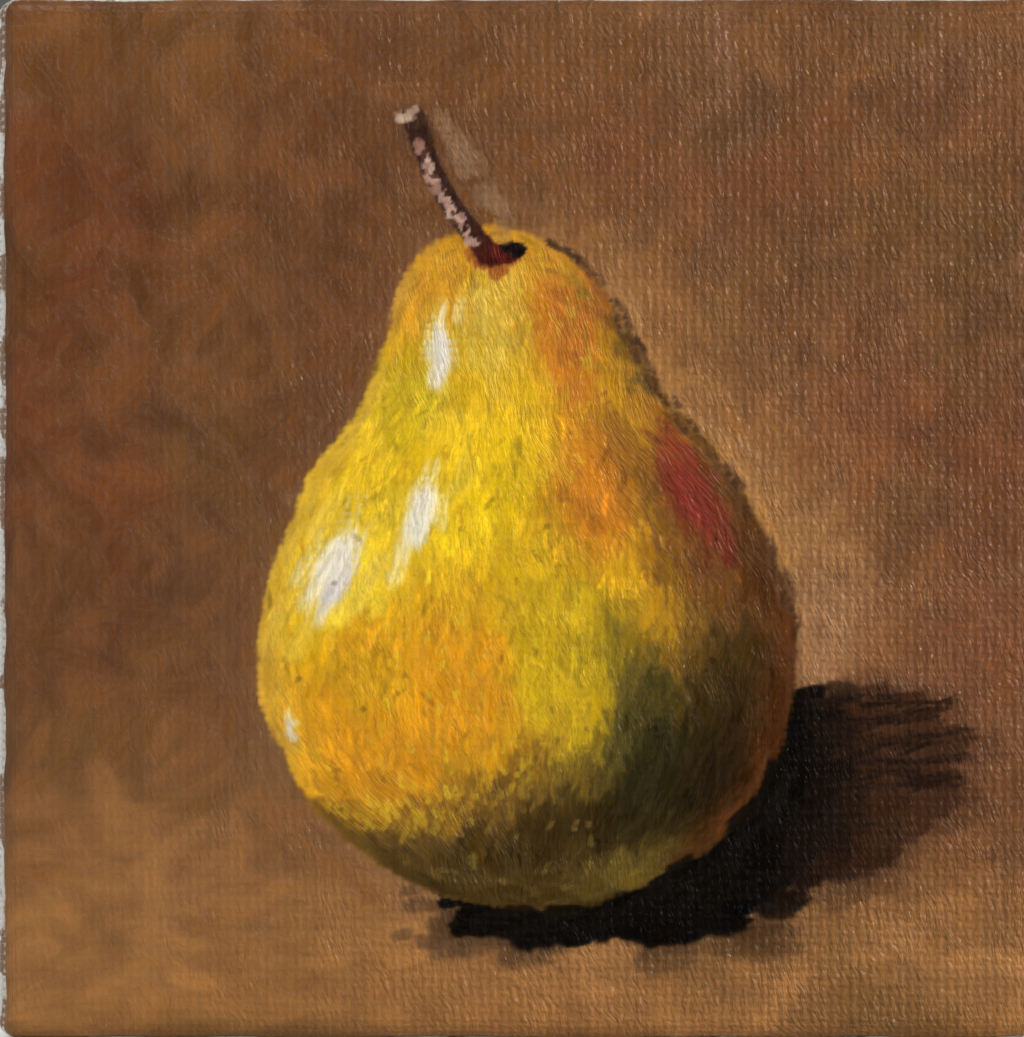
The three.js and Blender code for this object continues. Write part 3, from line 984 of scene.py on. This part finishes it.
def add_loose_threads():
    """Short cotton fibres that fray from the cut edge on the back."""
    random = np.random.default_rng(5)
    points, faces = [], []
    sides, steps = 5, 9
    for _ in range(110):
        quarter = random.integers(4)
        x, inward, y = random.uniform(-36, 36), FLAP + random.normal(0, 0.25) - 0.5, BACK - 0.2
        heading = random.normal(0, 0.8)
        length, curl = random.uniform(0.8, 3.6), random.normal(0, 0.5)
        thickness = random.uniform(0.045, 0.09)
        faces += tube_faces(steps, sides, len(points))
        for step in range(steps):
            c, s = cos(heading), sin(heading)
            radius = thickness * (1 - 0.5 * step / steps)
            for angle in np.arange(sides) * 2 * pi / sides:
                aside = radius * cos(angle)
                across, up = quarter_turned(x + c * aside, inward - s * aside - MIDDLE, -quarter)
                points.append((across, y + radius * sin(angle), MIDDLE + up))
            x, inward = x + s * length / steps, inward + c * length / steps
            y = max(y + random.normal(0.02, 0.05), BAR_BACK + thickness)
            heading += curl / steps + random.normal(0, 0.12)
    return add_mesh("loose_threads", points, faces)


# ---- Materials ----


class Shader:
    """A material whose nodes are added by short calls, with numbers or other nodes' outputs as values."""

    def __init__(self, name, **settings):
        self.material = bpy.data.materials.new(name)
        self.material.use_nodes = True
        self.tree = self.material.node_tree
        self.surface = self.tree.nodes["Principled BSDF"]
        self.here = self.node("TexCoord", output=3)  # the place in the piece's own metres
        for key, value in settings.items():
            self.surface.inputs[key.replace("_", " ")].default_value = value

    def put(self, socket, value):
        if isinstance(value, bpy.types.NodeSocket):
            self.tree.links.new(value, socket)
        elif value is not None:
            socket.default_value = value

    def node(self, kind, inputs=(), output=0, **settings):
        node = self.tree.nodes.new("ShaderNode" + kind)
        for key, value in settings.items():
            setattr(node, key, value)
        for socket, value in inputs.items() if isinstance(inputs, dict) else enumerate(inputs):
            self.put(node.inputs[socket], value)
        return node.outputs[output]

    def times(self, first, second):
        return self.node("Math", (first, second), operation="MULTIPLY")

    def plus(self, first, second):
        return self.node("Math", (first, second), operation="ADD")

    def minus(self, first, second):
        return self.node("Math", (first, second), operation="SUBTRACT")

    def sine(self, value):
        return self.node("Math", (value,), operation="SINE")

    def stretched(self, place, scale):
        return self.node("VectorMath", (place, scale), operation="MULTIPLY")

    def field(self, name, output="Fac"):
        return self.node("Attribute", output=output, attribute_name=name)

    def fields(self, name):
        """The three values of a vector that the piece holds for each vertex."""
        return self.parts(self.field(name, "Vector"))

    def parts(self, vector):
        return self.node("SeparateXYZ", (vector,)).node.outputs

    def noise(self, scale, detail=3.0, place=None):
        inputs = {"Vector": place or self.here, "Scale": scale, "Detail": detail, "Roughness": 0.55}
        return self.node("TexNoise", inputs)

    def remap(self, value, low, high, to_low=0.0, to_high=1.0):
        return self.node("MapRange", (value, low, high, to_low, to_high), interpolation_type="SMOOTHSTEP")

    def blend(self, share, first, second, how="MIX"):
        colours = [(*value, 1) if isinstance(value, tuple) else value for value in (first, second)]
        return self.node("Mix", {0: share, 6: colours[0], 7: colours[1]}, 2, data_type="RGBA", blend_type=how)

    def bump(self, height, distance, strength=1.0, under=None):
        inputs = {"Strength": strength, "Distance": distance, "Height": height, "Normal": under}
        return self.node("Bump", inputs)

    def finish(self, colour, roughness, bumps=None):
        for socket, value in {"Base Color": colour, "Roughness": roughness, "Normal": bumps}.items():
            self.put(self.surface.inputs[socket], value)
        return self.material


def woven(make, across, up, power=1.0):
    """A plain weave's height from 0 to 1: separate threads, or soft hills where the power is above 1."""

    def rounded(value):
        size = make.node("Math", (value,), operation="ABSOLUTE")
        return make.node("Math", (size, power), operation="POWER")

    across = make.sine(make.times(across, pi / WARP_PITCH))
    up = make.sine(make.times(up, pi / WEFT_PITCH))
    over = make.times(make.times(across, up), 0.45)
    warp = make.times(rounded(across), make.plus(0.55, over))
    weft = make.times(rounded(up), make.minus(0.55, over))
    weft = make.times(weft, 1.0 if power == 1 else 0.75)
    return make.node("Math", (warp, weft), operation="MAXIMUM")


def paint_material():
    """Satin acrylic: painted colours over the weave, with painted shade in its hollows, hair marks along
    strokes and slanting ridges.
    """
    make = Shader("acrylic_paint", Specular_IOR_Level=0.17)
    across, up, showing = make.fields("thread_place")
    hair, run, depth = make.fields("brush_place")
    ridge_u, ridge_v, away = make.fields("ridge_place")
    painted = make.field("paint_colour", "Color")

    def drawn_out(u, v, u_scale, v_scale, detail):
        place = make.node("CombineXYZ", (make.times(u, u_scale), make.times(v, v_scale), 0.0))
        return make.noise(1.0, detail, place)

    weave = make.times(woven(make, across, up, 1.7), make.remap(depth, 0.0, 0.07, 1.0, 0.2))
    weave = make.times(weave, showing)
    marks = drawn_out(hair, run, 3.6, 0.7, 3.0)
    ridges = drawn_out(ridge_u, ridge_v, 2.3, 0.8, 2.0)
    grain = make.noise(5200.0, 2.0)
    # The weave term is painted shade in the thread hollows and a touch of painted light on the thread tops.
    value = make.plus(make.remap(marks, 0.25, 0.75, 0.92, 1.06), make.remap(weave, 0.0, 0.5, -0.07, 0.02))
    value = make.plus(value, make.remap(grain, 0.3, 0.7, -0.03, 0.03))
    colour = make.blend(1.0, painted, make.node("CombineColor", (value,) * 3), "MULTIPLY")
    roughness = make.remap(make.noise(160.0), 0.3, 0.7, 0.24, 0.40)
    roughness = make.minus(roughness, make.remap(depth, 0.02, 0.12, 0.0, 0.08))
    # Dark paint shines least. The socket's own value is for what can't take a linked one.
    dark = make.node("RGBToBW", (painted,))
    make.put(make.surface.inputs["Specular IOR Level"], make.remap(dark, 0.005, 0.075, 0.04, 0.21))
    patchy = make.remap(make.noise(240.0, 2.0), 0.35, 0.65, 0.5, 1.25)
    strength = make.times(make.remap(across, -60.0, 40.0, 0.3, 1.0), patchy)
    ridges = make.times(ridges, make.times(strength, away))
    bumps = make.bump(ridges, 0.00034, under=make.bump(weave, 0.00011))
    bumps = make.bump(grain, 0.00001, under=make.bump(marks, 0.00003, under=bumps))
    return make.finish(colour, roughness, bumps)


def cloth_weave(make):
    """The bare cloth's weave over its own thread places, which wander a little."""
    wander = make.remap(make.noise(70.0, 2.0), 0.2, 0.8, -0.35, 0.35)
    across, up, _ = make.fields("thread_place")
    return woven(make, make.plus(across, wander), make.plus(up, wander))


def primed_material():
    """White primer over the weave, with painted shade between the threads and brown paint that ran over the
    front edge in places.
    """
    make = Shader("primed_canvas", IOR=1.45)
    weave, fibre = cloth_weave(make), make.noise(2600.0)
    mottle = make.remap(make.noise(60.0, 4.0), 0.3, 0.7)
    white = make.blend(mottle, (0.66, 0.645, 0.605), (0.59, 0.57, 0.525))
    # Darker where the weave is low, between the threads: painted shade.
    colour = make.blend(make.remap(weave, 0.05, 0.5), (0.42, 0.395, 0.345), white)
    ragged = make.remap(make.noise(210.0, 4.0), 0.35, 0.75, 0.2, 5.5)
    smear = make.remap(make.minus(ragged, make.field("cloth_way")), 0.0, 0.7)
    smear = make.times(smear, make.remap(weave, 0.1, 0.45))
    stain = make.blend(make.noise(120.0, 2.0), (0.13, 0.062, 0.026), (0.26, 0.135, 0.062))
    colour = make.blend(make.times(smear, 0.92), colour, stain)
    bumps = make.bump(fibre, 0.00003, under=make.bump(weave, 0.00022, 0.8))
    return make.finish(colour, make.remap(fibre, 0.3, 0.7, 0.62, 0.82), bumps)


def raw_material(name, light, dark):
    """Unprimed cotton: creamy threads with painted shade in the gaps between them, and the odd seed fleck."""
    make = Shader(name, IOR=1.4, Sheen_Weight=0.25)
    weave, fibre = cloth_weave(make), make.noise(3200.0)
    # The dark colour in the gaps between the threads is painted shade; below, it also darkens some fibres at
    # random.
    colour = make.blend(make.remap(weave, 0.05, 0.55), dark, light)
    fleck = make.times(make.remap(make.noise(900.0, 1.0), 0.72, 0.78), 0.5)
    colour = make.blend(fleck, colour, (0.30, 0.20, 0.11))
    colour = make.blend(make.remap(fibre, 0.3, 0.7, 0.0, 0.25), colour, dark)
    bumps = make.bump(fibre, 0.00005, under=make.bump(weave, 0.0003, 0.9))
    return make.finish(colour, 0.9, bumps)


def wood_material(name, shift):
    """Planed pine with its grain along the bar: soft growth bands, fine pores and warm patches."""
    make = Shader(name, IOR=1.45)
    offset = (shift * 0.13, shift * 0.041, shift * 0.067)
    place = make.node("VectorMath", (make.here, offset), operation="ADD")
    long = make.stretched(place, (0.05, 1.0, 1.0))
    _, y, z = make.parts(long)
    rings = make.times(make.plus(make.times(y, 0.35), z), 2300.0)
    bands = make.sine(make.plus(rings, make.times(make.noise(90.0, place=long), 14.0)))
    pores = make.noise(4200.0, place=make.stretched(place, (0.03, 1.0, 1.0)))
    late = make.remap(bands, -0.2, 1.0)
    colour = make.blend(make.times(late, 0.75), (0.66, 0.455, 0.245), (0.47, 0.265, 0.105))
    colour = make.blend(make.remap(pores, 0.42, 0.72, 0.0, 0.45), colour, (0.36, 0.20, 0.09))
    tone = make.remap(make.noise(22.0, 2.0, place), 0.35, 0.7, 0.0, 0.3)
    colour = make.blend(tone, colour, (0.74, 0.56, 0.34))
    bumps = make.bump(pores, 0.00006, under=make.bump(bands, 0.00004))
    return make.finish(colour, make.remap(late, 0.0, 1.0, 0.68, 0.5), bumps)


def steel_material():
    """Galvanised wire: dull zinc with drawn lines and faint blotches."""
    make = Shader("staple_steel", Metallic=1.0)
    drawn = make.noise(9000.0, 2.0, make.stretched(make.here, (0.03, 1.0, 1.0)))
    blotch = make.noise(700.0)
    colour = make.blend(make.remap(blotch, 0.3, 0.7), (0.62, 0.62, 0.60), (0.46, 0.465, 0.47))
    return make.finish(colour, make.remap(blotch, 0.3, 0.7, 0.26, 0.44), make.bump(drawn, 0.00001))


def floor_material():
    make = Shader("pale_floor")
    tone = make.remap(make.noise(9.0), 0.3, 0.7)
    return make.finish(make.blend(tone, (0.80, 0.795, 0.78), (0.76, 0.755, 0.74)), 0.75)


# ---- Everything together ----


def place_piece(piece, slot, materials, *nodes):
    for material in materials:
        piece.data.materials.append(material)
    if nodes:
        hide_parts(*nodes)
    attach(piece, "root")


def add_threads(piece, threads):
    """Where each vertex of some cloth is among the threads, and its way along the section."""
    add_field(piece, "cloth_way", threads[:, 2])
    add_field(piece, "thread_place", threads * [1, 1, 0])


def add_floor():
    reach = 3000.0
    corners = [(-reach, -reach, 0), (reach, -reach, 0), (reach, reach, 0), (-reach, reach, 0)]
    floor = add_mesh("floor", corners, [[0, 1, 2, 3]], smooth=False)
    floor.data.materials.append(floor_material())


add_camera()
add_light()
add_floor()

place_piece(add_paint_film(), "acrylic_paint", [paint_material()], "paint_film")

cloth, cloth_slots, cloth_threads = add_canvas()
add_threads(cloth, cloth_threads)
primed = primed_material()
raw = raw_material("raw_cotton", (0.70, 0.62, 0.47), (0.36, 0.29, 0.19))
place_piece(cloth, "primed_canvas", [primed, raw], "canvas")
cloth.data.polygons.foreach_set("material_index", cloth_slots)

for side_x, side_z in ((-1, -1), (-1, 1), (1, -1), (1, 1)):
    fold, fold_threads = add_corner_fold(side_x, side_z)
    add_threads(fold, fold_threads)
    place_piece(fold, "primed_canvas", [primed])

for quarter, side in enumerate(("bottom", "left", "top", "right")):
    pine = wood_material(f"pine_{side}", quarter + 1.0)
    place_piece(add_bar(f"stretcher_{side}", quarter), "stretcher_wood", [pine], f"bar_{side}")

steel = steel_material()
for name in STAPLES:
    place_piece(add_staple(name), "staple_steel", [steel], name)

loose = raw_material("loose_cotton", (0.80, 0.75, 0.64), (0.6, 0.54, 0.42))
place_piece(add_loose_threads(), "primed_canvas", [loose])
